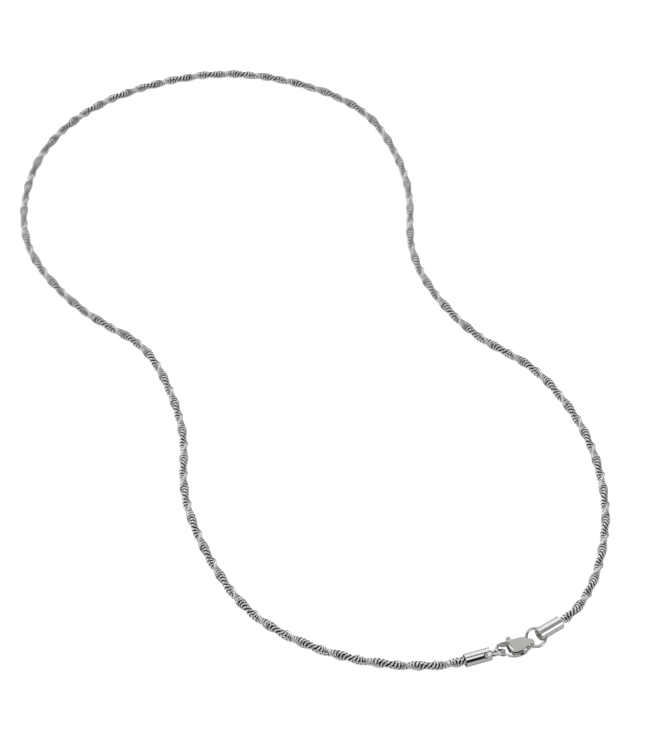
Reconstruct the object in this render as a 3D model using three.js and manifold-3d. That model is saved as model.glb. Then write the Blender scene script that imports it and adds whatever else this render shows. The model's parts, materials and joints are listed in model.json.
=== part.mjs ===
// A rope chain necklace with tube end caps and a lobster-claw clasp. Millimetres, +Z up.
// It lies on the plane z = 0. The origin is the centre of the clasp body's flat back.
// The rope is cut into short sections at evenly spaced hinge points, because a rope chain bends
// everywhere along its length. Each section is a twisted, two-lobed solid with domed ends.
import * as THREE from 'three';
import { mergeVertices } from 'three/addons/utils/BufferGeometryUtils.js';
import Module from 'manifold-3d';

const wasm = await Module();
wasm.setup();

// Rope
const ROPE_WIDE_RADIUS = 1.31;
const ROPE_NARROW_RADIUS = 0.88;
// Just more than the rope's radius, as the rope dips a little on its way down from the caps
const ROPE_HEIGHT = 1.36;
const BUMP_PITCH = 5.0;
const SECTION_GAP = 0.26;
const SECTION_DOME = 0.9;
const SECTION_SIDES = 8;
const SECTION_STEP = 1.5;

// End caps
const CAP_LENGTH = 7.0;
const CAP_RADIUS = 1.75;
const CAP_BORE_RADIUS = 1.45;
const ROPE_BORE_DEPTH = 2.4;
const RING_BORE_DEPTH = 2.6;
const CAP_EDGE = 0.15;
const CAP_SIDES = 28;
const RING_INSET = 1.6;
const RING_CLEARANCE = 0.08;
const RING_SWING = THREE.MathUtils.degToRad(8);
const ROPE_END_RADIUS = 1.25;
const ROPE_END_LENGTH = 1.9;

// Jump rings
const RING_RADIUS = 2.5;
const RING_WIRE_RADIUS = 0.45;

// Clasp
const CLASP_ANGLE = THREE.MathUtils.degToRad(14.6);
const CLASP_THICKNESS = 2.5;
const CLASP_HALF_WIDTH = 2.25;
const CLASP_FRONT = -3.2;
const CLASP_NOSE = 3.35;
const CLASP_BEVEL = 0.3;
const MID_HEIGHT = CLASP_THICKNESS / 2;
const HOOK_CENTRE = -5.0;
const HOOK_RADIUS = 1.68;
const HOOK_WIRE_RADIUS = 0.46;
const HOOK_HEIGHT = 1.84;
const HOOK_ROOT_HEIGHT = 2.3;
const HOOK_TIP_ANGLE = 285;
const EYE_CENTRE = 2.2;
const EYE_RADIUS = 0.74;
const EYE_FLARE = 0.85;
const EYE_TURN = THREE.MathUtils.degToRad(22);
const LEVER_THICKNESS = 0.84;
const SLOT_HEIGHT = 1.14;
const PIN_X = -1.0;
const PIN_Y = -0.3;
const PIN_RADIUS = 0.32;
const PIN_CLEARANCE = 0.06;
const PIN_TOP = 2.2;
const NUB_RADIUS = 0.58;

// The places where the rings hang, in the clasp's own frame, and the lie of the two rings and caps
const HOOK_CONTACT = new THREE.Vector3(-5.45, -0.2, 1.74);
const EYE_CONTACT = new THREE.Vector3(EYE_CENTRE, 0, MID_HEIGHT);
const CAP_HEIGHT = CAP_RADIUS;
const RIGHT_CAP_ANGLE = THREE.MathUtils.degToRad(33.2);
const LEFT_CAP_ANGLE = THREE.MathUtils.degToRad(198);
const TAIL_RING_CHORD = 4.96;
const TAIL_RING_HEADING = THREE.MathUtils.degToRad(43);
const TAIL_RING_TILT = THREE.MathUtils.degToRad(169);
const HOOK_RING_CHORD = 4.6;
const HOOK_RING_HEADING = THREE.MathUtils.degToRad(198);
const HOOK_RING_TILT = THREE.MathUtils.degToRad(50);

// The bends of the rope from the left cap's mouth round to the right cap's mouth, on the table
const ROPE_BENDS = [
  [-37.3, -5.1],
  [-67.6, 8.6],
  [-86.6, 42.1],
  [-89.8, 71],
  [-100.8, 97.7],
  [-122.5, 115.2],
  [-138.7, 142.1],
  [-136.3, 176.1],
  [-117.5, 199.4],
  [-78.7, 211.2],
  [-40, 196.1],
  [-25.8, 166.2],
  [-23.5, 131.6],
  [-9.6, 106.4],
  [10, 89.4],
  [22.3, 65.1],
  [24.4, 37.3],
  [17, 14.2],
];

const polishedSteel = () =>
  new THREE.MeshStandardMaterial({ color: 0xc9c9c7, roughness: 0.16, metalness: 1 });
const brushedSteel = () =>
  new THREE.MeshStandardMaterial({ color: 0xb5b2ab, roughness: 0.38, metalness: 1 });
const springSteel = () =>
  new THREE.MeshStandardMaterial({ color: 0x8f9092, roughness: 0.3, metalness: 1 });

const Z_AXIS = new THREE.Vector3(0, 0, 1);
const necklace = new THREE.Group();
necklace.name = 'chain_necklace';

function addPart(parent, name, geometry, material) {
  const mesh = new THREE.Mesh(geometry, material);
  mesh.name = name;
  parent.add(mesh);
  return mesh;
}

// ---------- solids ----------

// A closed geometry as a manifold-3d solid.
function toSolid(geometry) {
  const bare = geometry.clone();
  bare.deleteAttribute('normal');
  bare.deleteAttribute('uv');
  const merged = mergeVertices(bare, 1e-5);
  return new wasm.Manifold(
    new wasm.Mesh({
      numProp: 3,
      vertProperties: new Float32Array(merged.attributes.position.array),
      triVerts: new Uint32Array(merged.index.array),
    }),
  );
}

function toGeometry(solid) {
  const mesh = solid.getMesh();
  const geometry = new THREE.BufferGeometry();
  geometry.setAttribute('position', new THREE.BufferAttribute(mesh.vertProperties, 3));
  geometry.setIndex(new THREE.BufferAttribute(mesh.triVerts, 1));
  geometry.computeVertexNormals();
  return geometry;
}

// A box between two corners.
function box(low, high) {
  const geometry = new THREE.BoxGeometry(high[0] - low[0], high[1] - low[1], high[2] - low[2]);
  geometry.translate((low[0] + high[0]) / 2, (low[1] + high[1]) / 2, (low[2] + high[2]) / 2);
  return geometry;
}

// An outline in the XY plane raised from one height to another, with an optional bevelled edge.
function plate(shape, bottom, top, bevel = 0, curveSegments = 6) {
  const geometry = new THREE.ExtrudeGeometry(shape, {
    depth: top - bottom - 2 * bevel,
    bevelEnabled: bevel > 0,
    bevelThickness: bevel,
    bevelSize: bevel,
    bevelOffset: -bevel,
    bevelSegments: 2,
    curveSegments,
  });
  geometry.translate(0, 0, bottom + bevel);
  return geometry;
}

// A vertical round bar.
function upright(radius, bottom, top, x, y, sides = 16) {
  const geometry = new THREE.CylinderGeometry(radius, radius, top - bottom, sides);
  geometry.rotateX(Math.PI / 2);
  geometry.translate(x, y, (top + bottom) / 2);
  return geometry;
}

// A round wire swept along a curve.
function wire(curve, radius, steps, sides = 10) {
  const section = new THREE.Shape();
  section.absarc(0, 0, radius, 0, 2 * Math.PI);
  return new THREE.ExtrudeGeometry(section, {
    steps,
    extrudePath: curve,
    bevelEnabled: false,
    curveSegments: sides,
  });
}

// ---------- the rings: each hangs between two contact points on its own wire ----------

// The frame of a ring through two points: its plane holds both, and leans by tilt about the line
// between them. Local X runs along that line and local Z is the ring's own axis.
function ringFrame(from, to, tilt) {
  const along = to.clone().sub(from).normalize();
  const level = new THREE.Vector3().crossVectors(along, Z_AXIS).normalize();
  if (level.y > 0) level.negate();
  const rise = new THREE.Vector3().crossVectors(level, along).normalize();
  if (rise.z < 0) rise.negate();
  const outward = level.multiplyScalar(Math.cos(tilt)).addScaledVector(rise, Math.sin(tilt));
  const half = from.distanceTo(to) / 2;
  const offset = Math.sqrt(RING_RADIUS ** 2 - half ** 2);
  const centre = from.clone().add(to).multiplyScalar(0.5).addScaledVector(outward, offset);
  const axis = new THREE.Vector3().crossVectors(along, outward);
  return new THREE.Matrix4().makeBasis(along, outward, axis).setPosition(centre);
}

function addRing(name, frame) {
  const geometry = new THREE.TorusGeometry(RING_RADIUS, RING_WIRE_RADIUS, 8, 24);
  const ring = addPart(necklace, name, geometry, polishedSteel());
  ring.applyMatrix4(frame);
}

const claspTurn = new THREE.Matrix4().makeRotationZ(CLASP_ANGLE);
const hookContact = HOOK_CONTACT.clone().applyMatrix4(claspTurn);
const eyeContact = EYE_CONTACT.clone().applyMatrix4(claspTurn);

function heading(angle) {
  return new THREE.Vector3(Math.cos(angle), Math.sin(angle), 0);
}

// The point where a cap holds its ring, at the cap's own height.
function loopPoint(contact, chord, angle) {
  const rise = CAP_HEIGHT - contact.z;
  const level = Math.sqrt(chord ** 2 - rise ** 2);
  return contact.clone().addScaledVector(heading(angle), level).setZ(CAP_HEIGHT);
}

const rightLoop = loopPoint(eyeContact, TAIL_RING_CHORD, TAIL_RING_HEADING);
const leftLoop = loopPoint(hookContact, HOOK_RING_CHORD, HOOK_RING_HEADING);
const tailRingFrame = ringFrame(eyeContact, rightLoop, TAIL_RING_TILT);
const hookRingFrame = ringFrame(hookContact, leftLoop, HOOK_RING_TILT);
addRing('tail_ring', tailRingFrame);
addRing('hook_ring', hookRingFrame);

// ---------- end caps: a turned bar, bored from both ends, with a slot that the ring runs through ----------

// The space that a ring takes up as it swings about the line between the two caps' rings.
function ringSlot(frame, pivot) {
  const axis = rightLoop.clone().sub(leftLoop).normalize();
  const wireRadius = RING_WIRE_RADIUS + RING_CLEARANCE;
  const turns = [-RING_SWING, 0, RING_SWING].map((angle) => {
    const slot = new THREE.TorusGeometry(RING_RADIUS, wireRadius, 8, 24);
    slot.applyMatrix4(frame);
    slot.translate(-pivot.x, -pivot.y, -pivot.z);
    slot.applyMatrix4(new THREE.Matrix4().makeRotationAxis(axis, angle));
    return toSolid(slot);
  });
  return wasm.Manifold.union(turns);
}

// Each cap's local X runs from the ring's wire inside it to its mouth, where the rope goes in.
function addEndCap(name, endName, ringPoint, angle, ringFrameHere) {
  const face = -RING_INSET;
  const mouth = face + CAP_LENGTH;
  const profile = [
    [0, face + RING_BORE_DEPTH],
    [CAP_BORE_RADIUS, face + RING_BORE_DEPTH],
    [CAP_BORE_RADIUS, face],
    [CAP_RADIUS - CAP_EDGE, face],
    [CAP_RADIUS, face + CAP_EDGE],
    [CAP_RADIUS, mouth - 0.06],
    [CAP_RADIUS - 0.05, mouth],
    [CAP_BORE_RADIUS, mouth],
    [CAP_BORE_RADIUS, mouth - ROPE_BORE_DEPTH],
    [0, mouth - ROPE_BORE_DEPTH],
  ].map(([radius, x]) => new THREE.Vector2(radius, x));
  const bar = new THREE.LatheGeometry(profile, CAP_SIDES);
  bar.rotateZ(angle - Math.PI / 2);
  const drilled = toGeometry(toSolid(bar).subtract(ringSlot(ringFrameHere, ringPoint)));

  const end = new THREE.CylinderGeometry(ROPE_END_RADIUS, ROPE_END_RADIUS, ROPE_END_LENGTH, 16);
  end.rotateZ(Math.PI / 2);
  end.translate(mouth - 0.1 - ROPE_END_LENGTH / 2, 0, 0);
  end.rotateZ(angle);

  const cap = new THREE.Group();
  cap.position.copy(ringPoint);
  addPart(cap, name, drilled, polishedSteel());
  addPart(cap, endName, end, polishedSteel());
  necklace.add(cap);
  return ringPoint.clone().addScaledVector(heading(angle), mouth);
}

const rightMouth = addEndCap(
  'right_end_cap',
  'right_rope_end',
  rightLoop,
  RIGHT_CAP_ANGLE,
  tailRingFrame,
);
const leftMouth = addEndCap(
  'left_end_cap',
  'left_rope_end',
  leftLoop,
  LEFT_CAP_ANGLE,
  hookRingFrame,
);

// ---------- clasp ----------

// The body seen from above. Its front follows the claw's round opening.
function claspOutline() {
  const w = CLASP_HALF_WIDTH;
  const shape = new THREE.Shape();
  shape.moveTo(CLASP_FRONT + 0.3, -w + 0.1);
  shape.bezierCurveTo(-1.6, -w - 0.08, -0.4, -w - 0.02, 0.6, -w + 0.3);
  shape.bezierCurveTo(1.5, -w + 0.75, 1.9, -1.0, 2.5, -0.95);
  shape.quadraticCurveTo(CLASP_NOSE, -0.9, CLASP_NOSE, -0.2);
  shape.lineTo(CLASP_NOSE - 0.06, 0.35);
  shape.quadraticCurveTo(CLASP_NOSE - 0.15, 0.95, 2.3, 1.1);
  shape.bezierCurveTo(1.4, 1.5, 0.8, w - 0.2, -0.4, w - 0.04);
  shape.lineTo(-4.3, w - 0.1);
  shape.lineTo(-4.6, 1.4);
  shape.bezierCurveTo(-3.9, 1.2, -3.6, 0.5, -3.45, -0.3);
  shape.quadraticCurveTo(-3.3, -1.4, CLASP_FRONT + 0.3, -w + 0.1);
  return shape;
}

// The body seen from the side: full height at the flat face, and lower towards the claw.
function claspSide() {
  const shape = new THREE.Shape();
  shape.moveTo(-8, MID_HEIGHT - 0.7);
  shape.lineTo(CLASP_FRONT, 0);
  shape.lineTo(4, 0);
  shape.lineTo(4, CLASP_THICKNESS);
  shape.lineTo(CLASP_FRONT, CLASP_THICKNESS);
  shape.lineTo(-8, MID_HEIGHT + 0.7);
  const side = plate(shape, -3, 3);
  side.rotateX(Math.PI / 2);
  return side;
}

// The claw: from the body's shoulder round the front to a tip that the lever's arm closes against.
// Its round section is stretched upright towards the root.
function clawGeometry() {
  const points = [new THREE.Vector3(CLASP_FRONT + 0.1, HOOK_RADIUS - 0.08, HOOK_HEIGHT)];
  for (let angle = 90; angle <= HOOK_TIP_ANGLE; angle += 13) {
    const turn = THREE.MathUtils.degToRad(angle);
    const x = HOOK_CENTRE + HOOK_RADIUS * Math.cos(turn);
    points.push(new THREE.Vector3(x, HOOK_RADIUS * Math.sin(turn), HOOK_HEIGHT));
  }
  const claw = wire(new THREE.CatmullRomCurve3(points), HOOK_WIRE_RADIUS, 20);
  const position = claw.getAttribute('position');
  for (let i = 0; i < position.count; i++) {
    const turn = Math.atan2(position.getY(i), position.getX(i) - HOOK_CENTRE);
    const share = turn < 0 ? 0 : THREE.MathUtils.smoothstep(2.2 - turn, 0, 0.8);
    const stretch = THREE.MathUtils.lerp(1, HOOK_ROOT_HEIGHT / (2 * HOOK_WIRE_RADIUS), share);
    const middle = THREE.MathUtils.lerp(HOOK_HEIGHT, MID_HEIGHT, share);
    position.setZ(i, middle + (position.getZ(i) - HOOK_HEIGHT) * stretch);
  }
  return claw;
}

// The eye at the tail: a cross hole that opens out at both sides, so the ring can swing in it.
function eyeHole() {
  const profile = [new THREE.Vector2(0, -2)];
  for (let y = -2; y <= 2.001; y += 0.4) {
    profile.push(new THREE.Vector2(EYE_RADIUS + EYE_FLARE * Math.min(y * y, 1), y));
  }
  profile.push(new THREE.Vector2(0, 2));
  const hole = new THREE.LatheGeometry(profile, 16);
  hole.rotateZ(EYE_TURN);
  hole.translate(EYE_CENTRE, 0, MID_HEIGHT);
  return hole;
}

function claspBody() {
  const slotLow = MID_HEIGHT - SLOT_HEIGHT / 2;
  const slotHigh = MID_HEIGHT + SLOT_HEIGHT / 2;
  const slot = box([-6, -4, slotLow], [-0.12, 1.15, slotHigh]);
  const nubWindow = box([CLASP_FRONT + 0.18, 0.5, slotLow], [-0.7, 4, slotHigh]);
  const pinHole = upright(PIN_RADIUS + PIN_CLEARANCE, -1, PIN_TOP + 0.06, PIN_X, PIN_Y);
  return toSolid(plate(claspOutline(), 0, CLASP_THICKNESS, CLASP_BEVEL))
    .intersect(toSolid(claspSide()))
    .subtract(toSolid(slot))
    .subtract(toSolid(nubWindow))
    .add(toSolid(clawGeometry()))
    .subtract(toSolid(pinHole))
    .subtract(toSolid(eyeHole()));
}

// The trigger: a flat lever on the pin, with a closing arm, and a nub arm that crosses the slot.
function leverSolid() {
  const low = MID_HEIGHT - LEVER_THICKNESS / 2;
  const high = MID_HEIGHT + LEVER_THICKNESS / 2;
  const arm = new THREE.Shape();
  arm.moveTo(-0.45, -0.9);
  arm.bezierCurveTo(-0.6, -2.1, -1.0, -2.55, -1.7, -2.58);
  arm.bezierCurveTo(-2.5, -2.6, -3.0, -2.3, -3.95, -2.2);
  arm.quadraticCurveTo(-4.22, -1.8, -4.27, -1.42);
  arm.lineTo(-3.2, -1.35);
  arm.quadraticCurveTo(-1.9, -1.25, -1.6, -0.3);
  arm.lineTo(-1.0, -0.3);
  const nubArm = new THREE.Shape();
  nubArm.moveTo(-0.45, -0.1);
  nubArm.lineTo(-2.4, 2.85);
  nubArm.lineTo(-2.9, 2.65);
  nubArm.lineTo(-1.55, -0.3);
  const nub = new THREE.SphereGeometry(NUB_RADIUS, 10, 8);
  nub.translate(-2.7, 2.92, MID_HEIGHT);
  const pinHole = upright(PIN_RADIUS + PIN_CLEARANCE, low - 1, high + 1, PIN_X, PIN_Y);
  return toSolid(plate(arm, low, high))
    .add(toSolid(plate(nubArm, low, high)))
    .add(toSolid(upright(0.7, low, high, PIN_X, PIN_Y)))
    .add(toSolid(nub))
    .subtract(toSolid(pinHole));
}

// A bent leaf that pushes the nub arm forwards, so the lever stays shut.
function springGeometry() {
  const leaf = new THREE.Shape();
  leaf.moveTo(-0.2, 0.98);
  leaf.lineTo(-0.2, 0.3);
  leaf.lineTo(-0.3, 0.3);
  leaf.lineTo(-0.3, 0.82);
  leaf.lineTo(-1.12, 0.98);
  leaf.lineTo(-1.12, 1.07);
  return plate(leaf, MID_HEIGHT - 0.3, MID_HEIGHT + 0.3);
}

const clasp = new THREE.Group();
clasp.rotation.z = CLASP_ANGLE;
addPart(clasp, 'clasp_body', toGeometry(claspBody()), brushedSteel());
addPart(clasp, 'clasp_lever', toGeometry(leverSolid()), polishedSteel());
addPart(clasp, 'lever_pin', upright(PIN_RADIUS, 0.02, PIN_TOP, PIN_X, PIN_Y), polishedSteel());
addPart(clasp, 'lever_spring', springGeometry(), springSteel());
necklace.add(clasp);

// ---------- rope path ----------

const bendPoints = ROPE_BENDS.map(([x, y]) => new THREE.Vector3(x, y, ROPE_HEIGHT));
const ropePath = new THREE.CatmullRomCurve3(
  [leftLoop, leftMouth, ...bendPoints, rightMouth, rightLoop],
  false,
  'centripetal',
);
ropePath.arcLengthDivisions = 4000;
const pathLength = ropePath.getLength();

// The distance along the whole path to one of its own points.
function distanceTo(index) {
  const share = index / (ropePath.points.length - 1);
  return ropePath.getLengths()[Math.round(share * ropePath.arcLengthDivisions)];
}
const leftStart = distanceTo(1);
const rightStart = distanceTo(ropePath.points.length - 2);
const ropeLength = rightStart - leftStart;

// Points by their distance along the rope from the left cap's mouth or from the right one's.
const fromLeft = (distance) => ropePath.getPointAt((leftStart + distance) / pathLength);
const fromRight = (distance) => fromLeft(ropeLength - distance);

// ---------- hinge stations ----------

const SPACING = 13.5;
const RIGHT_LIFTS = [0.15, 13, 26];
const LEFT_LIFTS = [0.15, 14.6, 29.1, 43.7, 58.3, 72.9, 87.4];
// Where each pair of matching straight runs starts on the right, and about where on the left
const SWAY_RUNS = [
  [39, 102],
  [67, 134.5],
  [95, 160],
  [123, 193],
  [153, 219],
];

// The left-hand run whose chord is the same vector as a right-hand run's chord, by Newton's method.
function matchingRun(rightLow, rightHigh, guess) {
  const chord = fromRight(rightHigh).sub(fromRight(rightLow));
  let low = guess;
  let high = guess + rightHigh - rightLow;
  const step = 0.01;
  const miss = (a, b) => fromLeft(b).sub(fromLeft(a)).sub(chord);
  for (let pass = 0; pass < 30; pass++) {
    const error = miss(low, high);
    const slopeLow = miss(low + step, high).sub(error).divideScalar(step);
    const slopeHigh = miss(low, high + step).sub(error).divideScalar(step);
    const det = slopeLow.x * slopeHigh.y - slopeHigh.x * slopeLow.y;
    const moveLow = (error.x * slopeHigh.y - slopeHigh.x * error.y) / det;
    const moveHigh = (slopeLow.x * error.y - error.x * slopeLow.y) / det;
    low -= THREE.MathUtils.clamp(moveLow, -2, 2);
    high -= THREE.MathUtils.clamp(moveHigh, -2, 2);
  }
  return [low, high];
}

const rightStations = [...RIGHT_LIFTS];
const leftStations = [...LEFT_LIFTS];
for (const [start, guess] of SWAY_RUNS) {
  rightStations.push(start, start + SPACING);
  leftStations.push(...matchingRun(start, start + SPACING, guess));
}
const APEX_HINGES = 12;
const rightEnd = rightStations.at(-1);
const apexLength = ropeLength - rightEnd - leftStations.at(-1);
const apexStations = Array.from(
  { length: APEX_HINGES },
  (_, i) => rightEnd + (apexLength * (i + 1)) / (APEX_HINGES + 1),
);
// Every hinge's distance from the right cap's mouth, in order along the rope
const stations = [
  ...rightStations,
  ...apexStations,
  ...leftStations.map((distance) => ropeLength - distance).reverse(),
];
const hingePoints = stations.map(fromRight);

// ---------- rope sections ----------

function lobedRadius(angle, distance) {
  const middle = (ROPE_WIDE_RADIUS + ROPE_NARROW_RADIUS) / 2;
  const swing = (ROPE_WIDE_RADIUS - ROPE_NARROW_RADIUS) / 2;
  return middle + swing * Math.cos(2 * angle - (2 * Math.PI * distance) / BUMP_PITCH);
}

// One stretch of rope, as a lathe-turned bar bent along the path, twisted and squeezed into lobes.
function ropeSection(start, end) {
  const length = end - start - SECTION_GAP;
  const bodySteps = Math.round((length - 2 * SECTION_DOME) / SECTION_STEP);
  const profile = [new THREE.Vector2(0, 0)];
  const domeShares = [0.12, 0.45];
  const domePoint = (share) => Math.sqrt(1 - (1 - share) ** 2);
  for (const share of domeShares) {
    profile.push(new THREE.Vector2(domePoint(share), share * SECTION_DOME));
  }
  for (let i = 0; i <= bodySteps; i++) {
    const along = SECTION_DOME + ((length - 2 * SECTION_DOME) * i) / bodySteps;
    profile.push(new THREE.Vector2(1, along));
  }
  for (const share of domeShares.toReversed()) {
    profile.push(new THREE.Vector2(domePoint(share), length - share * SECTION_DOME));
  }
  profile.push(new THREE.Vector2(0, length));

  const geometry = new THREE.LatheGeometry(profile, SECTION_SIDES);
  const position = geometry.getAttribute('position');
  for (let i = 0; i < position.count; i++) {
    const distance = start + SECTION_GAP / 2 + position.getY(i);
    const angle = Math.atan2(position.getX(i), position.getZ(i));
    const share = Math.hypot(position.getX(i), position.getZ(i));
    const radius = share * lobedRadius(angle, distance);
    const centre = fromRight(distance);
    const along = fromRight(distance + 0.05).sub(fromRight(distance - 0.05)).normalize();
    const side = new THREE.Vector3().crossVectors(Z_AXIS, along).normalize();
    const up = new THREE.Vector3().crossVectors(along, side);
    centre.addScaledVector(side, radius * Math.cos(angle)).addScaledVector(up, radius * Math.sin(angle));
    position.setXYZ(i, centre.x, centre.y, centre.z);
  }
  return geometry;
}

const ropeName = (number) => `rope_${String(number).padStart(2, '0')}`;
for (let number = 1; number < stations.length; number++) {
  const geometry = ropeSection(stations[number - 1], stations[number]);
  const material = polishedSteel();
  addPart(necklace, ropeName(number), geometry, material);
}

// The places and axes that the moving joints turn about, for whoever assembles the mechanism
necklace.userData = {
  hingePoints,
  hookContact,
  eyeContact,
  rightLoop,
  leftLoop,
  leverPin: new THREE.Vector3(PIN_X, PIN_Y, MID_HEIGHT).applyMatrix4(claspTurn),
};

export default necklace;
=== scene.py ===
"""A polished rope chain necklace with a lobster-claw clasp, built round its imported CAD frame.

The rope is a row of separate ring links along a smooth line through the frame's hinge points. Each link
overlaps its neighbours and isn't threaded through them. Lengths in this script are in millimetres unless
a name or comment says otherwise, and MM turns them into Blender's metres.
"""
import json
import math

import bmesh
import bpy
import numpy as np
from mathutils import Matrix, Vector

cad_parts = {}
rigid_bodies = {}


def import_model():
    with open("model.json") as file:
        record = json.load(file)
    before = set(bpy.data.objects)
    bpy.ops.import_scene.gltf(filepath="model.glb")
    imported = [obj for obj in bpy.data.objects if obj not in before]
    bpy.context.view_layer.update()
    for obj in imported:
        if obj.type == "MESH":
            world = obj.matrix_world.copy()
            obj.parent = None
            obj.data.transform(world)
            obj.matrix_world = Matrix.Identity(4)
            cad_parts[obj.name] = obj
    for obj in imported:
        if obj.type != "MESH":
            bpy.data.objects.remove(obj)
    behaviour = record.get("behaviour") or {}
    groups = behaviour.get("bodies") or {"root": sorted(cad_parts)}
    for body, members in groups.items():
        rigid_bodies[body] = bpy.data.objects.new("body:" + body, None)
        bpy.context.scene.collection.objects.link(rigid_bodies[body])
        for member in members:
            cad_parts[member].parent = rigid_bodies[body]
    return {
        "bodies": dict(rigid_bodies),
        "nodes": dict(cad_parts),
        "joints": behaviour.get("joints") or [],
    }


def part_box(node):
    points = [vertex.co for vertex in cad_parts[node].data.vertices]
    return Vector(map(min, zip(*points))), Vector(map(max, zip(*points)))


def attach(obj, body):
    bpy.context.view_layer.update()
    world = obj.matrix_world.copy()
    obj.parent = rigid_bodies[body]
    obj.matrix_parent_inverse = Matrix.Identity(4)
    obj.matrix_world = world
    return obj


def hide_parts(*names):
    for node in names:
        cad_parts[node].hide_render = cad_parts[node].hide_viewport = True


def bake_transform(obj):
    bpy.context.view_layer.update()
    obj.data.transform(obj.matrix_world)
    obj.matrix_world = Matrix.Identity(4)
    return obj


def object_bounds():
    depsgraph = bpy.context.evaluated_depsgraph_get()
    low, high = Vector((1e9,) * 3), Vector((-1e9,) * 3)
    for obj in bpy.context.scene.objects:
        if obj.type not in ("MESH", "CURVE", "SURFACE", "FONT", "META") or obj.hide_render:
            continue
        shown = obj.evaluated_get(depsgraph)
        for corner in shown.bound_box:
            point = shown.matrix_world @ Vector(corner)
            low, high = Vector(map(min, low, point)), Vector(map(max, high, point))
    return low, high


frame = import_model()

cad_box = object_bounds()
MM = 0.001
RANDOM = np.random.default_rng(7)

# Rope links: each is a ring of wire, and the rope's two lobes make half a turn every BUMP_PITCH
BUMP_PITCH = 5.0
LINK_RADIUS = 1.07
LINK_WIRE = 0.26
LINK_STEP = 0.745
LINK_LEAN = math.radians(-38)
LINK_START = 1.5
LINK_AROUND = 30
LINK_SIDES = 10
# Hand-made unevenness: turn and lean in radians, and shift along the rope
TURN_SPREAD = 0.02
LEAN_SPREAD = 0.02
SHIFT_SPREAD = 0.008
# The dark core is painted shade: it fills the rope's middle, where the inner halves of the wires lie in
# shade
CORE_RADIUS = 0.5
CORE_SIDES = 12
CORE_STEP = 0.6
# How far from the rope's centre line the painted shade in its grooves fades from dark to none
GROOVE_SHADE_REACH = (0.5, 0.86)
ROPE_INSIDE_CAP = 1.9
SPAN_SAMPLES = 120

# End caps
CAP_LENGTH = 7.0
CAP_BORE_RADIUS = 1.45
ROPE_BORE_DEPTH = 2.4
RING_BORE_DEPTH = 2.6
RING_INSET = 1.6
RING_CLEARANCE = 0.08
RING_SWING = 8  # degrees
CAP_LIP = 0.07
CAP_EDGE = 0.14
CAP_SIDES = 128

# Jump rings
RING_WIRE = 0.45
RING_SEAM = 0.035
RING_STEPS = 120
RING_SIDES = 28

# Clasp, in its own frame: X runs from the claw to the tail, and the back is at height 0
CLASP_THICKNESS = 2.5
CLASP_HALF_WIDTH = 2.25
CLASP_FRONT = -3.2
CLASP_NOSE = 3.35
MID_HEIGHT = CLASP_THICKNESS / 2
HOOK_CENTRE = -5.0
HOOK_RADIUS = 1.68
HOOK_WIRE = 0.46
HOOK_HEIGHT = 1.84
HOOK_ROOT_HEIGHT = 2.3
HOOK_TIP_ANGLE = 285
EYE_CENTRE = 2.2
EYE_RADIUS = 0.74
EYE_FLARE = 0.85
EYE_SQUASH = 0.72
EYE_TURN = math.radians(22)
LEVER_THICKNESS = 0.84
SLOT_HEIGHT = 1.14
PIN = (-1.0, -0.3)
PIN_RADIUS = 0.32
PIN_TOP = 2.2
PIN_CLEARANCE = 0.06
NUB = (-2.72, 3.0)
NUB_RADIUS = 0.66
SKIN_VOXEL = 0.045


# ---------- the frame's own places ----------

joints = {joint["name"]: joint for joint in frame["joints"]}


def place(joint_name):
    """A joint's position, in millimetres."""
    return np.array(joints[joint_name]["pos_m"]) / MM


def rope_bodies():
    """The bodies along the rope, from the right cap round to the left cap."""
    names = sorted(name for name in frame["bodies"] if name.startswith("rope_"))
    return ["right_cap", *names, "left_cap"]


def joint_between(first, second):
    """The frame's joint that joins two bodies."""
    for joint in frame["joints"]:
        if {joint["parent"], joint["child"]} == {first, second}:
            return joint
    raise ValueError(f"no joint between {first} and {second}")


bodies = rope_bodies()
hinges = [
    np.array(joint_between(first, second)["pos_m"]) / MM
    for first, second in zip(bodies, bodies[1:])
]
eye_point = place("clasp_roll")
clasp_angle = math.atan2(eye_point[1], eye_point[0])
right_loop = place("clasp_swing")
left_loop = place("clasp_swing_left")


# ---------- mesh helpers ----------

def new_object(name, vertices, faces, smooth=True):
    """A mesh object from vertices in millimetres."""
    mesh = bpy.data.meshes.new(name)
    mesh.from_pydata((np.asarray(vertices) * MM).tolist(), [], [list(map(int, f)) for f in faces])
    mesh.polygons.foreach_set("use_smooth", [smooth] * len(mesh.polygons))
    mesh.update()
    obj = bpy.data.objects.new(name, mesh)
    bpy.context.scene.collection.objects.link(obj)
    return obj


def grid_faces(rows, columns, close_rows=False, close_columns=True):
    """Quads over a grid of rows by columns of vertices."""
    row_count = rows if close_rows else rows - 1
    column_count = columns if close_columns else columns - 1
    i, j = np.meshgrid(np.arange(row_count), np.arange(column_count), indexing="ij")
    i, j = i.ravel(), j.ravel()
    next_i, next_j = (i + 1) % rows, (j + 1) % columns
    return np.stack(
        [i * columns + j, next_i * columns + j, next_i * columns + next_j, i * columns + next_j], 1
    )


def unit(vector):
    """A vector, or each of an array of vectors, at length 1."""
    vector = np.asarray(vector, float)
    return vector / np.linalg.norm(vector, axis=-1, keepdims=True)


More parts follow.
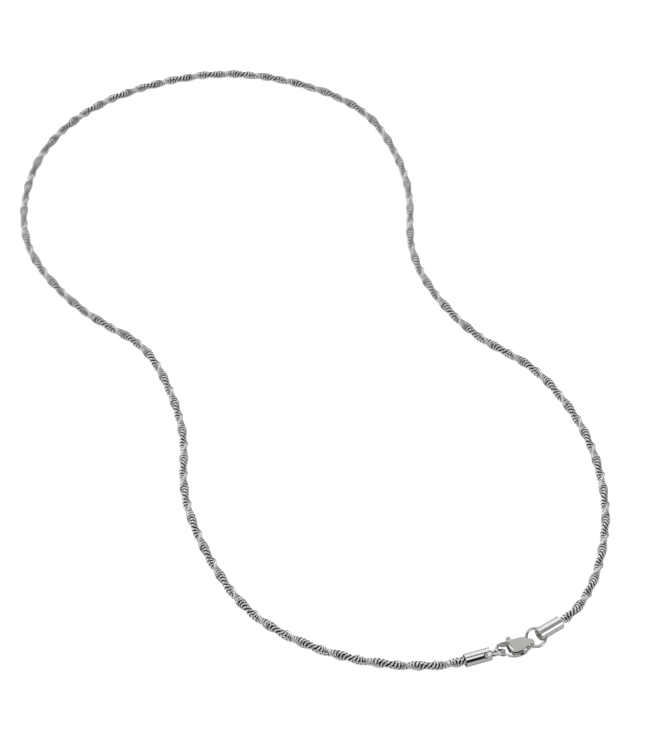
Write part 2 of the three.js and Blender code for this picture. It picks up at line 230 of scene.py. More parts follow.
def tube(points, radius, sides, closed=False):
    """Vertices and faces of a round wire along points, with rounded-off flat ends if it is open."""
    points = np.asarray(points, float)
    count = len(points)
    if closed:
        along = unit(np.roll(points, -1, 0) - np.roll(points, 1, 0))
    else:
        along = unit(np.gradient(points, axis=0))
    side = np.zeros_like(points)
    start = np.cross(along[0], [0.0, 0.0, 1.0])
    if np.linalg.norm(start) < 0.1:
        start = np.cross(along[0], [0.0, 1.0, 0.0])
    side[0] = unit(start)
    for i in range(1, count):
        kept = side[i - 1] - along[i] * (side[i - 1] @ along[i])
        side[i] = unit(kept)
    other = np.cross(along, side)
    turn = np.linspace(0, 2 * math.pi, sides, endpoint=False)
    radii = np.broadcast_to(np.asarray(radius, float), (count,))[:, None, None]
    ring = side[:, None] * np.cos(turn)[None, :, None] + other[:, None] * np.sin(turn)[None, :, None]
    vertices = (points[:, None] + ring * radii).reshape(-1, 3)
    faces = [list(face) for face in grid_faces(count, sides, close_rows=closed)]
    if not closed:
        faces.append(list(range(sides)))
        faces.append(list(range((count - 1) * sides, count * sides))[::-1])
    return vertices, faces


def lathe(profile, sides):
    """Vertices and faces of a profile of (distance along X, radius) turned about X."""
    turn = np.linspace(0, 2 * math.pi, sides, endpoint=False)
    rows = [
        np.stack([np.full(sides, x), radius * np.cos(turn), radius * np.sin(turn)], 1)
        for x, radius in profile
    ]
    faces = [list(face) for face in grid_faces(len(profile), sides)]
    faces.append(list(range(sides))[::-1])
    last = (len(profile) - 1) * sides
    faces.append(list(range(last, last + sides)))
    return np.vstack(rows), faces


def arc(centre, radius, start, end, steps):
    """Points on an arc in the profile plane, angles in degrees."""
    angles = np.radians(np.linspace(start, end, steps))
    return [(centre[0] + radius * math.cos(a), centre[1] + radius * math.sin(a)) for a in angles]


def face_outwards(obj):
    """Makes every face's normal point out of the solid."""
    editor = bmesh.new()
    editor.from_mesh(obj.data)
    bmesh.ops.recalc_face_normals(editor, faces=editor.faces)
    editor.to_mesh(obj.data)
    editor.free()
    return obj


def bake(obj):
    """Applies an object's modifiers to its mesh."""
    depsgraph = bpy.context.evaluated_depsgraph_get()
    mesh = bpy.data.meshes.new_from_object(obj.evaluated_get(depsgraph))
    obj.modifiers.clear()
    obj.data = mesh
    return obj


def raw_object(name, vertices, faces):
    """A mesh object whose units are millimetres, for cutting and joining before it is scaled."""
    return new_object(name, np.asarray(vertices) / MM, faces)


def combine(target, other, operation):
    """Joins other to target, or cuts it away, and removes other."""
    modifier = target.modifiers.new("combine", "BOOLEAN")
    modifier.operation = operation
    modifier.solver = "EXACT"
    modifier.object = other
    bake(target)
    bpy.data.objects.remove(other)
    return target


def shade_by_angle(obj, degrees):
    """Smooth shading, except across edges sharper than the angle."""
    obj.data.polygons.foreach_set("use_smooth", [True] * len(obj.data.polygons))
    obj.data.set_sharp_from_angle(angle=math.radians(degrees))


# ---------- materials ----------

# How far recesses are searched for painted shade, in millimetres, and how open to the room they are
RECESS_DISTANCE = 0.8
RECESS_OPENNESS = (0.2, 0.62)
# A surface this level is brushed, and its edges have this share of its roughness
FLAT_TOP = (0.96, 0.995)
# The flat top's colour is darkened to this share: painted shade for the brushed face's spread
# reflections
FLAT_SHADE = 0.69
EDGE_ROUGHNESS = 0.35
# The rope's painted shade in its grooves goes down to this share of its colour
GROOVE_SHADE = 0.03


def steel(name, colour, rough, rough_spread, scratch, recess_shade, brushed=False, shaded_grooves=False):
    """Polished or brushed steel: its tone varies at random, with fine scratches and painted shade in
    recesses.
    """
    material = bpy.data.materials.new(name)
    material.use_nodes = True
    nodes = material.node_tree.nodes
    links = material.node_tree.links
    shader = nodes["Principled BSDF"]
    shader.inputs["Metallic"].default_value = 1.0
    place_node = nodes.new("ShaderNodeTexCoord")

    def noise(scale, detail, stretch=(1, 1, 1)):
        mapping = nodes.new("ShaderNodeMapping")
        mapping.inputs["Scale"].default_value = stretch
        if brushed:
            mapping.inputs["Rotation"].default_value[2] = -clasp_angle
        texture = nodes.new("ShaderNodeTexNoise")
        texture.inputs["Scale"].default_value = scale / MM
        texture.inputs["Detail"].default_value = detail
        links.new(place_node.outputs["Object"], mapping.inputs["Vector"])
        links.new(mapping.outputs["Vector"], texture.inputs["Vector"])
        return texture.outputs["Fac"]

    def spread(value, low, high, start=0.3, end=0.7):
        node = nodes.new("ShaderNodeMapRange")
        node.inputs["From Min"].default_value = start
        node.inputs["From Max"].default_value = end
        node.inputs["To Min"].default_value = low
        node.inputs["To Max"].default_value = high
        links.new(value, node.inputs["Value"])
        return node.outputs["Result"]

    def multiply(first, second):
        node = nodes.new("ShaderNodeMath")
        node.operation = "MULTIPLY"
        links.new(first, node.inputs[0])
        links.new(second, node.inputs[1])
        return node.outputs[0]

    recess = nodes.new("ShaderNodeAmbientOcclusion")
    recess.samples = 6
    recess.inputs["Distance"].default_value = RECESS_DISTANCE * MM
    # Painted shade: the colour darkens in recesses, where other surfaces are near
    painted_recess_shade = spread(recess.outputs["AO"], 1 - recess_shade, 1.0, *RECESS_OPENNESS)
    tone_and_shade = multiply(spread(noise(0.35, 3), 0.93, 1.04), painted_recess_shade)
    # Painted shade in the rope's grooves: the colour darkens towards the rope's centre line
    if shaded_grooves:
        reach = nodes.new("ShaderNodeAttribute")
        reach.attribute_name = "reach"
        tone_and_shade = multiply(tone_and_shade, spread(reach.outputs["Fac"], GROOVE_SHADE, 1.0, *GROOVE_SHADE_REACH))
    tint = nodes.new("ShaderNodeMix")
    tint.data_type = "RGBA"
    tint.blend_type = "MULTIPLY"
    tint.inputs["Factor"].default_value = 1.0
    tint.inputs["A"].default_value = (*colour, 1.0)
    links.new(tone_and_shade, tint.inputs["B"])
    links.new(tint.outputs["Result"], shader.inputs["Base Color"])

    bump = nodes.new("ShaderNodeBump")
    bump.inputs["Distance"].default_value = 0.01 * MM
    bump.inputs["Strength"].default_value = scratch
    grain = noise(3.0, 5, (0.05, 1, 1)) if brushed else noise(2.2, 6, (0.25, 1, 1))
    links.new(grain, bump.inputs["Height"])
    links.new(bump.outputs["Normal"], shader.inputs["Normal"])

    if brushed:
        # Only the flat top is brushed: it is rougher, and its colour is darkened as painted shade for
        # its spread reflections
        geometry = nodes.new("ShaderNodeNewGeometry")
        split = nodes.new("ShaderNodeSeparateXYZ")
        links.new(geometry.outputs["Normal"], split.inputs["Vector"])
        flat = spread(split.outputs["Z"], 0.0, 1.0, *FLAT_TOP)
        links.new(spread(flat, rough * EDGE_ROUGHNESS, rough, 0, 1), shader.inputs["Roughness"])
        links.new(multiply(tone_and_shade, spread(flat, 1.0, FLAT_SHADE, 0, 1)), tint.inputs["B"])
    else:
        smudge = spread(noise(0.8, 4), rough - rough_spread, rough + rough_spread)
        links.new(smudge, shader.inputs["Roughness"])
    return material


# The last number of each steel is how deep its painted shade in recesses goes
rope_steel = steel("rope_steel", (0.95, 0.945, 0.93), 0.12, 0.04, 0.05, 0.9, shaded_grooves=True)
polished_steel = steel("polished_steel", (0.82, 0.815, 0.80), 0.06, 0.03, 0.04, 0.6)
brushed_steel = steel("brushed_steel", (0.80, 0.785, 0.76), 0.34, 0.05, 0.35, 0.85, brushed=True)
spring_steel = steel("spring_steel", (0.50, 0.50, 0.52), 0.28, 0.05, 0.20, 0.40)


def finish_piece(obj, material):
    """Gives a piece its material."""
    obj.data.materials.clear()
    obj.data.materials.append(material)
    return obj


# ---------- rope ----------

def spline_samples(points, per_span):
    """A natural cubic spline through points, by chord length, sampled evenly in each span."""
    points = np.asarray(points, float)
    knots = np.concatenate([[0], np.cumsum(np.linalg.norm(np.diff(points, axis=0), axis=1))])
    gaps = np.diff(knots)
    count = len(points)
    system = np.eye(count)
    right = np.zeros((count, 3))
    for i in range(1, count - 1):
        system[i, i - 1 : i + 2] = gaps[i - 1], 2 * (gaps[i - 1] + gaps[i]), gaps[i]
        slope = np.diff(points[i - 1 : i + 2], axis=0) / gaps[i - 1 : i + 1, None]
        right[i] = 6 * (slope[1] - slope[0])
    curvature = np.linalg.solve(system, right)
    samples = []
    for i, gap in enumerate(gaps):
        t = np.linspace(0, 1, per_span, endpoint=i == len(gaps) - 1)[:, None]
        bow = gap * gap / 6
        samples.append(
            (1 - t) * points[i]
            + t * points[i + 1]
            + bow * ((1 - t) ** 3 - (1 - t)) * curvature[i]
            + bow * (t**3 - t) * curvature[i + 1]
        )
    return np.vstack(samples)


right_axis = unit(hinges[0] - right_loop)
left_axis = unit(hinges[-1] - left_loop)
knot_points = [
    hinges[0] - right_axis * 4,
    hinges[0] - right_axis * 1.5,
    *hinges,
    hinges[-1] - left_axis * 1.5,
    hinges[-1] - left_axis * 4,
]
line = spline_samples(knot_points, SPAN_SAMPLES)
line_length = np.concatenate([[0], np.cumsum(np.linalg.norm(np.diff(line, axis=0), axis=1))])
hinge_lengths = [line_length[(k + 2) * SPAN_SAMPLES] for k in range(len(hinges))]


def line_at(distance):
    """Places on the rope's centre line, at distances along it."""
    return np.stack([np.interp(distance, line_length, line[:, axis]) for axis in range(3)], -1)


def line_frame(distance):
    """Along, sideways and up directions of the rope's centre line."""
    along = unit(line_at(distance + 0.05) - line_at(distance - 0.05))
    side = unit(np.cross([0.0, 0.0, 1.0], along))
    return along, side, np.cross(along, side)


theta = np.linspace(0, 2 * math.pi, LINK_AROUND, endpoint=False)
psi = np.linspace(0, 2 * math.pi, LINK_SIDES, endpoint=False)
link_faces = grid_faces(LINK_AROUND, LINK_SIDES, close_rows=True)


def link_vertices(distance):
    """One ring link: it leans from the rope's axis, and it turns a little further than the last."""
    along, side, up = line_frame(distance)
    turn = math.pi * (distance - hinge_lengths[0] - LINK_START) / BUMP_PITCH
    turn += RANDOM.normal(0, TURN_SPREAD)
    outward = side * math.cos(turn) + up * math.sin(turn)
    lean = LINK_LEAN + RANDOM.normal(0, LEAN_SPREAD)
    along = unit(along * math.cos(lean) + np.cross(along, outward) * math.sin(lean))
    axis = unit(np.cross(along, outward))
    centre = line_at(distance) + along * RANDOM.normal(0, SHIFT_SPREAD)
    radial = along * np.cos(theta)[:, None] + outward * np.sin(theta)[:, None]
    wire = radial[:, None] * np.cos(psi)[None, :, None] + axis * np.sin(psi)[None, :, None]
    return (centre + LINK_RADIUS * radial[:, None] + LINK_WIRE * wire).reshape(-1, 3)


def rope_piece(index, distances):
    """The links round one hinge and the core in them, for the two bodies that the hinge joins."""
    vertices = [link_vertices(distance) for distance in distances]
    size = LINK_AROUND * LINK_SIDES
    faces = [list(face) for i in range(len(vertices)) for face in link_faces + i * size]
    first, last = distances[0] - LINK_STEP / 2, distances[-1] + LINK_STEP / 2
    # The core is painted shade: a dark tube in the links' middle
    stations = np.linspace(first, last, int((last - first) / CORE_STEP) + 2)
    core, core_faces = tube(line_at(stations), CORE_RADIUS, CORE_SIDES)
    faces += [[i + size * len(vertices) for i in face] for face in core_faces]
    vertices = np.vstack([*vertices, core])
    piece = new_object(f"rope_links_{index:02d}", vertices, faces)
    # Each vertex's distance from the rope's centre line, for the painted shade in the rope's grooves
    near_line = line_at(np.linspace(first - 2, last + 2, 400))
    reach = np.linalg.norm(vertices[:, None] - near_line[None], axis=2).min(1)
    piece.data.attributes.new("reach", "FLOAT", "POINT").data.foreach_set("value", reach)
    face_outwards(piece)
    finish_piece(piece, rope_steel)
    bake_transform(piece)
    return piece


first_link = hinge_lengths[0] - ROPE_INSIDE_CAP
last_link = hinge_lengths[-1] + ROPE_INSIDE_CAP
link_places = np.arange(first_link, last_link, LINK_STEP)
splits = [(a + b) / 2 for a, b in zip(hinge_lengths, hinge_lengths[1:])]
piece_of_link = np.searchsorted(splits, link_places)
for index in range(len(hinges)):
    piece = rope_piece(index, link_places[piece_of_link == index])
    stood_for = [name for name in bodies[index : index + 2] if name.startswith("rope_")]
    if index == 0:
        stood_for.append("right_rope_end")
    if index == len(hinges) - 1:
        stood_for.append("left_rope_end")
    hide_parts(*stood_for)


# ---------- end caps ----------

def ring_frame(node):
    """A CAD ring's centre, its own axis and its wire's centre radius, in millimetres."""
    points = np.array([v.co for v in frame["nodes"][node].data.vertices]) / MM
    centre = points.mean(0)
    axis = np.linalg.svd(points - centre, full_matrices=False)[2][2]
    reach = np.linalg.norm(points - centre, axis=1).max()
    return centre, axis, reach - RING_WIRE


def ring_slot(ring_node, pivot):
    """The space that a ring takes up inside its cap as it swings."""
    centre, axis, radius = ring_frame(ring_node)
    x = unit(np.cross(axis, [0.0, 0.0, 1.0]))
    y = np.cross(axis, x)
    turn = np.linspace(0, 2 * math.pi, 72, endpoint=False)
    circle = centre + radius * (x * np.cos(turn)[:, None] + y * np.sin(turn)[:, None])
    vertices, faces = tube(circle, RING_WIRE + RING_CLEARANCE, 24, closed=True)
    swing_axis = Vector(right_loop - left_loop).normalized()
    slots = []
    for angle in (-RING_SWING, 0, RING_SWING):
        slot = face_outwards(raw_object("ring_slot", vertices, faces))
        to_pivot = Matrix.Translation(Vector(pivot))
        turned = Matrix.Rotation(math.radians(angle), 4, swing_axis)
        slot.data.transform(to_pivot @ turned @ to_pivot.inverted())
        slots.append(slot)
    return slots


def cap_piece(side, node, body, loop, axis, ring_node):
    """A polished bar, bored from both ends, with a slot through its side walls for the ring."""
    low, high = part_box(node)
    radius = (high.z - low.z) / 2 / MM
    bore = CAP_BORE_RADIUS
    face = -RING_INSET
    mouth = face + CAP_LENGTH
    lip = CAP_LIP
    edge = CAP_EDGE
    profile = [
        (face + RING_BORE_DEPTH, 0.02),
        (face + RING_BORE_DEPTH, bore - 0.05),
        (face + RING_BORE_DEPTH - 0.05, bore),
        *arc((face + lip, bore + lip), lip, -90, -180, 5),
        *arc((face + edge, radius - edge), edge, 180, 90, 8),
        (face + 0.2, radius),
        (mouth - lip - 0.04, radius),
        *arc((mouth - lip, radius - lip), lip, 90, 0, 5),
        *arc((mouth - lip, bore + lip), lip, 0, -90, 5),
        (mouth - ROPE_BORE_DEPTH + 0.05, bore),
        (mouth - ROPE_BORE_DEPTH, bore - 0.05),
        (mouth - ROPE_BORE_DEPTH, 0.02),
    ]
    vertices, faces = lathe(profile, CAP_SIDES)
    across = np.cross([0.0, 0.0, 1.0], axis)
    placed = loop + vertices @ np.array([axis, across, np.cross(axis, across)])
    cap = face_outwards(raw_object(f"{side}_cap_tube", placed, faces))
    for slot in ring_slot(ring_node, loop):
        combine(cap, slot, "DIFFERENCE")
    shade_by_angle(cap, 40)
    cap.data.transform(Matrix.Scale(MM, 4))
    finish_piece(cap, polished_steel)
    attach(cap, body)
    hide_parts(node)


cap_piece("right", "right_end_cap", "right_cap", right_loop, right_axis, "tail_ring")
cap_piece("left", "left_end_cap", "left_cap", left_loop, left_axis, "hook_ring")


# ---------- jump rings: round wire bent to a circle, with a closed seam ----------

def jump_ring(name, node, seam_turn):
    """A ring of round wire, with its seam at an angle in radians."""
    centre, axis, radius = ring_frame(node)
    x = unit(np.cross(axis, [0.0, 0.0, 1.0]))
    y = np.cross(axis, x)
    half_seam = RING_SEAM / radius / 2
    turn = np.linspace(seam_turn + half_seam, seam_turn + 2 * math.pi - half_seam, RING_STEPS)
    points = centre + radius * (x * np.cos(turn)[:, None] + y * np.sin(turn)[:, None])
    ends = np.full(len(turn), RING_WIRE)
    ends[[0, -1]] = RING_WIRE - 0.02
    vertices, faces = tube(points, ends, RING_SIDES)
    ring = face_outwards(new_object(name, vertices, faces))
    finish_piece(ring, polished_steel)
    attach(ring, node)
    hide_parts(node)


jump_ring("tail_ring_wire", "tail_ring", 2.4)
jump_ring("hook_ring_wire", "hook_ring", 4.2)


# ---------- clasp ----------

def bezier(start, *rest, steps=14):
    """Points on a quadratic or cubic curve, without its first point."""
    points = np.array([start, *rest], float)
    result = []
    for t in np.linspace(0, 1, steps + 1)[1:]:
        level = points
        while len(level) > 1:
            level = (1 - t) * level[:-1] + t * level[1:]
        result.append(tuple(level[0]))
    return result


class Outline:
    """A closed outline drawn like a pen path."""

    def __init__(self, start):
        self.points = [start]

    def line(self, *end):
        """A straight stretch to a point."""
        self.points.append(end)
        return self

    def curve(self, *controls):
        """A quadratic or cubic stretch, whose last control is its end."""
        self.points += bezier(self.points[-1], *controls)
        return self


def prism(name, outline, bottom, top, bevel=0.0, bevel_steps=4):
    """An outline raised into a plate, with rounded-over edges."""
    points = np.array(outline.points)
    if np.allclose(points[0], points[-1]):
        points = points[:-1]
    forward = unit(np.roll(points, -1, 0) - np.roll(points, 1, 0))
    inward = np.stack([-forward[:, 1], forward[:, 0]], 1)
    if bevel:
        angles = np.linspace(0, math.pi / 2, bevel_steps + 1)
        low = [(bottom + bevel * (1 - math.sin(a)), bevel * (1 - math.cos(a))) for a in angles[::-1]]
        levels = low + [(top - (z - bottom), inset) for z, inset in low[::-1]]
    else:
        levels = [(bottom, 0.0), (top, 0.0)]
    rows = [
        np.column_stack([points + inward * inset, np.full(len(points), z)]) for z, inset in levels
    ]
    faces = [list(face) for face in grid_faces(len(rows), len(points))]
    faces.append(list(range(len(points)))[::-1])
    last = (len(rows) - 1) * len(points)
    faces.append(list(range(last, last + len(points))))
    return face_outwards(raw_object(name, np.vstack(rows), faces))


def block(name, low, high):
    """A box between two corners."""
    outline = Outline((low[0], low[1])).line(high[0], low[1])
    outline.line(high[0], high[1]).line(low[0], high[1])
    return prism(name, outline, low[2], high[2])


def upright(name, x, y, radius, bottom, top):
    """A round bar standing on its end."""
    outline = Outline((x + radius, y))
    for a in np.linspace(0, 2 * math.pi, 48, endpoint=False)[1:]:
        outline.line(x + radius * math.cos(a), y + radius * math.sin(a))
    return prism(name, outline, bottom, top)


def soften(obj, voxel, passes):
    """Fuses the joined solids into one skin and rounds its edges as polishing does."""
    remesh = obj.modifiers.new("skin", "REMESH")
    remesh.mode = "VOXEL"
    remesh.voxel_size = voxel
    smooth = obj.modifiers.new("polish", "SMOOTH")
    smooth.factor = 0.5
    smooth.iterations = passes
    bake(obj)
    obj.data.polygons.foreach_set("use_smooth", [True] * len(obj.data.polygons))
    return obj


def seat_in_clasp(obj):
    """Moves a piece from the clasp's own millimetres to the frame's metres."""
    turn = Matrix.Rotation(clasp_angle, 4, "Z")
    obj.data.transform(turn @ Matrix.Scale(MM, 4))
    obj.data.update()
    return obj


def body_outline():
    """The plate seen from above, from the claw's end round to the nose at the eye."""
    w = CLASP_HALF_WIDTH
    return (
        Outline((-2.9, -w + 0.1))
        .curve((-1.6, -w - 0.08), (-0.4, -w - 0.02), (0.6, -w + 0.3))
        .curve((1.4, -w + 0.65), (1.5, -0.95), (2.3, -0.85))
        .curve((CLASP_NOSE, -0.8), (CLASP_NOSE, -0.1))
        .line(CLASP_NOSE - 0.06, 0.35)
        .curve((CLASP_NOSE - 0.1, 1.05), (2.5, 1.25))
        .curve((1.7, 1.6), (1.2, w), (0.3, w))
        .line(-3.6, w - 0.06)
        .curve((-3.7, 0.3), (-3.3, -0.9), (-2.9, -w + 0.1))
    )


def face_outline():
    """The brushed flat face, inside broad polished edges; it has the body outline's steps."""
    return (
        Outline((-2.8, -1.72))
        .curve((-1.6, -1.86), (-0.5, -1.84), (0.4, -1.58))
        .curve((1.1, -1.2), (1.2, -0.6), (2.0, -0.52))
        .curve((3.02, -0.48), (3.04, -0.1))
        .line(3.0, 0.2)
        .curve((2.95, 0.55), (2.45, 0.62))
        .curve((1.7, 0.95), (1.1, 1.5), (0.4, 1.68))
        .line(-3.55, 1.55)
        .curve((-2.8, 0.9), (-2.5, -0.6), (-2.8, -1.72))
    )


def body_shell():
    """The body's plate: upright walls, a polished edge that rounds in, and the flat face."""
    outer = np.array(body_outline().points[:-1])
    inner = np.array(face_outline().points[:-1])
    top = CLASP_THICKNESS
    levels = [(0, 0.3), (0.05, 0.12), (0.2, 0.0), (top - 0.5, 0.0)]
    levels += [(top - 0.42 * (1 - share) ** 1.6, share) for share in (0.04, 0.14, 0.35, 0.65, 0.9, 1.0)]
    rows = [
        np.column_stack([outer + (inner - outer) * share, np.full(len(outer), z)]) for z, share in levels
    ]
    faces = [list(face) for face in grid_faces(len(rows), len(outer))]
    faces.append(list(range(len(outer)))[::-1])
    last = (len(rows) - 1) * len(outer)
    faces.append(list(range(last, last + len(outer))))
    return face_outwards(raw_object("clasp_shell", np.vstack(rows), faces))


def claw():
    """The claw: a bar as tall as the body at its root, which thins to a round tip."""
    turn = np.radians(np.linspace(90, HOOK_TIP_ANGLE, 66))
    arc_points = np.stack([HOOK_CENTRE + HOOK_RADIUS * np.cos(turn), HOOK_RADIUS * np.sin(turn)], 1)
    root = np.linspace([CLASP_FRONT + 0.1, HOOK_RADIUS - 0.06], arc_points[0], 14)[:-1]
    flat = np.vstack([root, arc_points])
    points = np.column_stack([flat, np.full(len(flat), HOOK_HEIGHT)])
    share = np.linspace(0, 1, len(points))
    taper = np.clip(share - 0.9, 0, 1) / 0.1
    radius = HOOK_WIRE - 0.1 * taper**2
    radius[-3:] *= [0.9, 0.65, 0.3]
    vertices, faces = tube(points, radius, 32)
    around = np.arctan2(vertices[:, 1], vertices[:, 0] - HOOK_CENTRE)
    t = np.clip((2.2 - around) / 0.8, 0, 1)
    root_share = np.where(around < 0, 0.0, t * t * (3 - 2 * t))
    stretch = 1 + (HOOK_ROOT_HEIGHT / (2 * HOOK_WIRE) - 1) * root_share
    middle = HOOK_HEIGHT + (MID_HEIGHT - HOOK_HEIGHT) * root_share
    vertices[:, 2] = middle + (vertices[:, 2] - HOOK_HEIGHT) * stretch
    return face_outwards(raw_object("claw", vertices, faces))


def eye_cutter():
    """The eye's bore, which flares at both ends so that the tail ring can tip."""
    y = np.linspace(-2, 2, 41)
    profile = [(v, EYE_RADIUS + EYE_FLARE * min(v * v, 1.0)) for v in y]
    vertices, faces = lathe(profile, 48)
    cosine, sine = math.cos(EYE_TURN), math.sin(EYE_TURN)
    bore, out = vertices[:, 0], vertices[:, 1]
    turned = np.column_stack([out * cosine - bore * sine, out * sine + bore * cosine, vertices[:, 2]])
    turned[:, 2] *= EYE_SQUASH
    return face_outwards(raw_object("eye_cutter", turned + [EYE_CENTRE, 0, MID_HEIGHT], faces))


def build_clasp_body():
    """The plate with its claw, slotted for the lever, bored for the pin and for the tail ring."""
    slot_low = MID_HEIGHT - SLOT_HEIGHT / 2
    slot_high = MID_HEIGHT + SLOT_HEIGHT / 2
    body = body_shell()
    slot = block("slot", (-6, -4, slot_low), (-0.12, 1.15, slot_high))
    combine(body, slot, "DIFFERENCE")
    window = block("window", (CLASP_FRONT + 0.18, 0.5, slot_low), (-0.7, 4, slot_high))
    combine(body, window, "DIFFERENCE")
    combine(body, claw(), "UNION")
    hole_radius = PIN_RADIUS + PIN_CLEARANCE
    combine(body, upright("pin_hole", *PIN, hole_radius, -1, PIN_TOP + PIN_CLEARANCE), "DIFFERENCE")
    combine(body, eye_cutter(), "DIFFERENCE")
    soften(body, SKIN_VOXEL, 4)
    return body


def build_lever():
    """The bar that closes the claw's mouth, with the thumb nub on its other arm."""
    low = MID_HEIGHT - LEVER_THICKNESS / 2
    high = MID_HEIGHT + LEVER_THICKNESS / 2
    arm = Outline((-0.45, -0.9)).curve((-0.6, -2.1), (-1.0, -2.55), (-1.7, -2.58))
    arm.curve((-2.5, -2.6), (-3.0, -2.3), (-3.95, -2.2)).curve((-4.22, -1.8), (-4.27, -1.42))
    arm.line(-3.2, -1.35).curve((-1.9, -1.25), (-1.6, -0.3)).line(-1.0, -0.3)
    lever = prism("trigger_lever", arm, low, high)
    nub_arm = Outline((-0.45, -0.1)).line(-2.4, 2.85).line(-2.9, 2.65).line(-1.55, -0.3)
    combine(lever, prism("nub_arm", nub_arm, low, high), "UNION")
    combine(lever, upright("boss", *PIN, 0.7, low, high), "UNION")
    ball = bmesh.new()
    bmesh.ops.create_uvsphere(ball, u_segments=32, v_segments=20, radius=NUB_RADIUS)
    bmesh.ops.translate(ball, verts=ball.verts, vec=(*NUB, MID_HEIGHT))
    mesh = bpy.data.meshes.new("nub")
    ball.to_mesh(mesh)
    ball.free()
    nub = bpy.data.objects.new("nub", mesh)
    bpy.context.scene.collection.objects.link(nub)
    combine(lever, nub, "UNION")
    hole_radius = PIN_RADIUS + PIN_CLEARANCE
    combine(lever, upright("lever_hole", *PIN, hole_radius, low - 1, high + 1), "DIFFERENCE")
    soften(lever, SKIN_VOXEL, 5)
    return lever


def build_pin():
    """The lever's pin, flush with the clasp's back."""
    profile = [(0.02, 0.02), (0.02, PIN_RADIUS - 0.08)]
    profile += arc((0.1, PIN_RADIUS - 0.08), 0.08, 180, 90, 6)
    profile += [(PIN_TOP - 0.05, PIN_RADIUS), (PIN_TOP, PIN_RADIUS - 0.05), (PIN_TOP, 0.02)]
    vertices, faces = lathe(profile, 48)
    upright_pin = vertices[:, [2, 1, 0]] + [*PIN, 0]
    return face_outwards(raw_object("trigger_pin", upright_pin, faces))


def build_spring():
    """A bent leaf, held at its short leg, whose free end presses on the lever's nub arm."""
    leaf = Outline((-0.2, 0.98)).line(-0.2, 0.3).line(-0.3, 0.3).line(-0.3, 0.82)
    leaf.line(-0.55, 0.87).line(-0.85, 0.93).line(-1.12, 0.98)
    leaf.line(-1.12, 1.07).line(-0.85, 1.04).line(-0.55, 1.01)
    return prism("trigger_spring", leaf, MID_HEIGHT - 0.3, MID_HEIGHT + 0.3)


clasp_pieces = [
    (build_clasp_body, brushed_steel, "brushed_steel", "clasp", "clasp_body"),
    (build_lever, polished_steel, "polished_steel", "clasp_lever", "clasp_lever"),
    (build_pin, polished_steel, "polished_steel", "clasp", "lever_pin"),
    (build_spring, spring_steel, "spring_steel", "clasp", "lever_spring"),
]
for build, material, slot_name, body, node in clasp_pieces:
    obj = seat_in_clasp(build())
    finish_piece(obj, material)
    if node == "lever_spring":
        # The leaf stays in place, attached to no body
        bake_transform(obj)
    else:
        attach(obj, body)
    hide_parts(node)


# ---------- stage, light and camera ----------

CAMERA_ELEVATION = math.radians(50.92)
CAMERA_DISTANCE = 617.5 * MM
# From the middle of the loop's box, at floor level
CAMERA_AIM = Vector((6.8, -11.3, 0)) * MM
LENS = 106.3
FLOOR_HALF_SIZE = 3000
FLOOR_DEPTH = 0.12
FLOOR_GLOW = 0.12
FLOOR_GLOW_TO_CAMERA = 0.85
to_camera = Vector((0, -math.cos(CAMERA_ELEVATION), math.sin(CAMERA_ELEVATION)))


def build_floor(centre):
    """A white floor that glows a little, and more for the camera, so that it shows no grey."""
    x, y = centre.x / MM, centre.y / MM
    corners = [(-1, -1), (1, -1), (1, 1), (-1, 1)]
    points = [(x + i * FLOOR_HALF_SIZE, y + j * FLOOR_HALF_SIZE, -FLOOR_DEPTH) for i, j in corners]
    floor = new_object("floor", points, [(0, 1, 2, 3)], smooth=False)
    material = bpy.data.materials.new("floor_white")
    material.use_nodes = True
    shader = material.node_tree.nodes["Principled BSDF"]
    shader.inputs["Base Color"].default_value = (0.8, 0.8, 0.8, 1)
    shader.inputs["Roughness"].default_value = 0.9
    shader.inputs["Emission Color"].default_value = (1, 1, 1, 1)
    nodes, links = material.node_tree.nodes, material.node_tree.links
    ray = nodes.new("ShaderNodeLightPath")
    glow = nodes.new("ShaderNodeMapRange")
    glow.inputs["To Min"].default_value = FLOOR_GLOW
    glow.inputs["To Max"].default_value = FLOOR_GLOW_TO_CAMERA
    links.new(ray.outputs["Is Camera Ray"], glow.inputs["Value"])
    links.new(glow.outputs["Result"], shader.inputs["Emission Strength"])
    floor.data.materials.append(material)


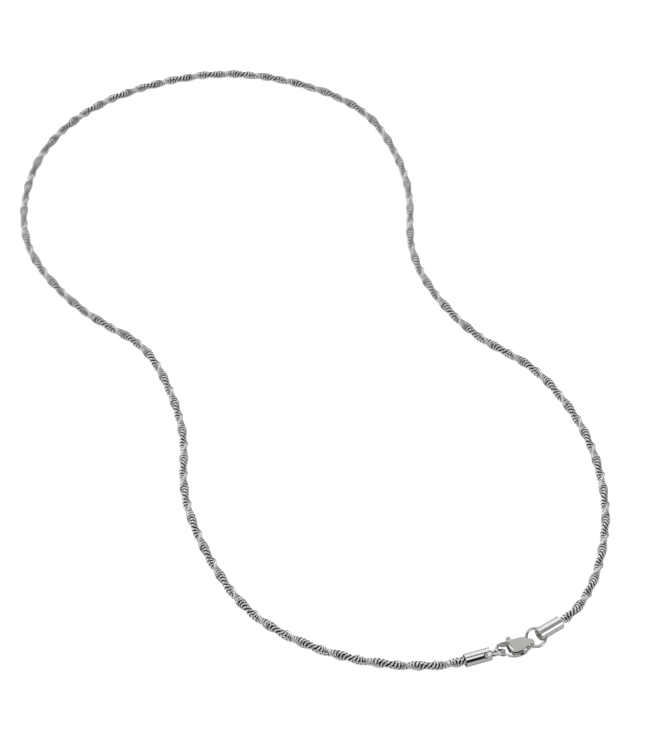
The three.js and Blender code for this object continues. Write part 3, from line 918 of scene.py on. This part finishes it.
def build_world():
    """A dim room with white and dark panels to reflect, which the camera itself sees as white."""
    world = bpy.data.worlds.new("studio")
    bpy.context.scene.world = world
    world.use_nodes = True
    nodes = world.node_tree.nodes
    links = world.node_tree.links
    background = nodes["Background"]
    direction = nodes.new("ShaderNodeTexCoord").outputs["Generated"]
    colour = nodes.new("ShaderNodeRGB")
    colour.outputs[0].default_value = (0.12, 0.12, 0.125, 1)
    current = colour.outputs[0]

    def patch(towards, inner, outer, shade):
        """A round panel, full within inner degrees of its middle and gone beyond outer degrees."""
        dot = nodes.new("ShaderNodeVectorMath")
        dot.operation = "DOT_PRODUCT"
        dot.inputs[1].default_value = Vector(towards).normalized()
        links.new(direction, dot.inputs[0])
        low, high = math.cos(math.radians(outer)), math.cos(math.radians(inner))
        blend_patch(dot.outputs["Value"], low, high, shade)

    def blend_patch(value, low, high, shade):
        nonlocal current
        share = nodes.new("ShaderNodeMapRange")
        share.interpolation_type = "SMOOTHSTEP"
        share.inputs["From Min"].default_value = low
        share.inputs["From Max"].default_value = high
        links.new(value, share.inputs["Value"])
        mix = nodes.new("ShaderNodeMix")
        mix.data_type = "RGBA"
        mix.inputs["B"].default_value = (*shade, 1)
        links.new(share.outputs["Result"], mix.inputs["Factor"])
        links.new(current, mix.inputs["A"])
        current = mix.outputs["Result"]

    # Behind the necklace, in front of it, round the camera, and overhead
    patch((-0.10, 0.85, 0.50), 36, 46, (1.0, 1.0, 1.0))
    patch((0.05, -0.95, 0.30), 38, 46, (0.012, 0.012, 0.015))
    patch(tuple(to_camera), 12, 18, (0.03, 0.03, 0.035))
    patch((0.50, 0.0, 0.87), 8, 24, (0.36, 0.36, 0.36))
    patch((0.10, -0.30, 0.95), 17, 22, (1.0, 1.0, 1.0))
    # At the sides, for the links, the rings and the clasp's polished edge
    patch((0.78, -0.42, 0.46), 13, 19, (1.5, 1.5, 1.5))
    patch((-0.84, -0.30, 0.44), 12, 18, (1.3, 1.3, 1.3))
    patch((-0.75, 0.35, 0.55), 15, 22, (1.3, 1.3, 1.3))
    height = nodes.new("ShaderNodeSeparateXYZ")
    links.new(direction, height.inputs["Vector"])
    horizon_low, horizon_high = math.sin(math.radians(5)), math.sin(math.radians(12))
    blend_patch(height.outputs["Z"], horizon_high, horizon_low, (0.28, 0.28, 0.28))
    backdrop = nodes.new("ShaderNodeMix")
    backdrop.data_type = "RGBA"
    backdrop.inputs["B"].default_value = (1, 1, 1, 1)
    links.new(nodes.new("ShaderNodeLightPath").outputs["Is Camera Ray"], backdrop.inputs["Factor"])
    links.new(current, backdrop.inputs["A"])
    links.new(backdrop.outputs["Result"], background.inputs["Color"])


def build_camera(centre):
    """A long lens above the clasp's end of the loop."""
    camera = bpy.data.objects.new("camera", bpy.data.cameras.new("camera"))
    bpy.context.scene.collection.objects.link(camera)
    target = Vector((centre.x, centre.y, 0)) + CAMERA_AIM
    camera.location = target + to_camera * CAMERA_DISTANCE
    camera.rotation_mode = "QUATERNION"
    camera.rotation_quaternion = (-to_camera).to_track_quat("-Z", "Y")
    camera.data.sensor_width = 36
    camera.data.lens = LENS
    camera.data.clip_start = 0.01
    bpy.context.scene.camera = camera


box_centre = (cad_box[0] + cad_box[1]) / 2
build_floor(box_centre)
build_world()
build_camera(box_centre)
bpy.context.scene.view_settings.view_transform = "Standard"
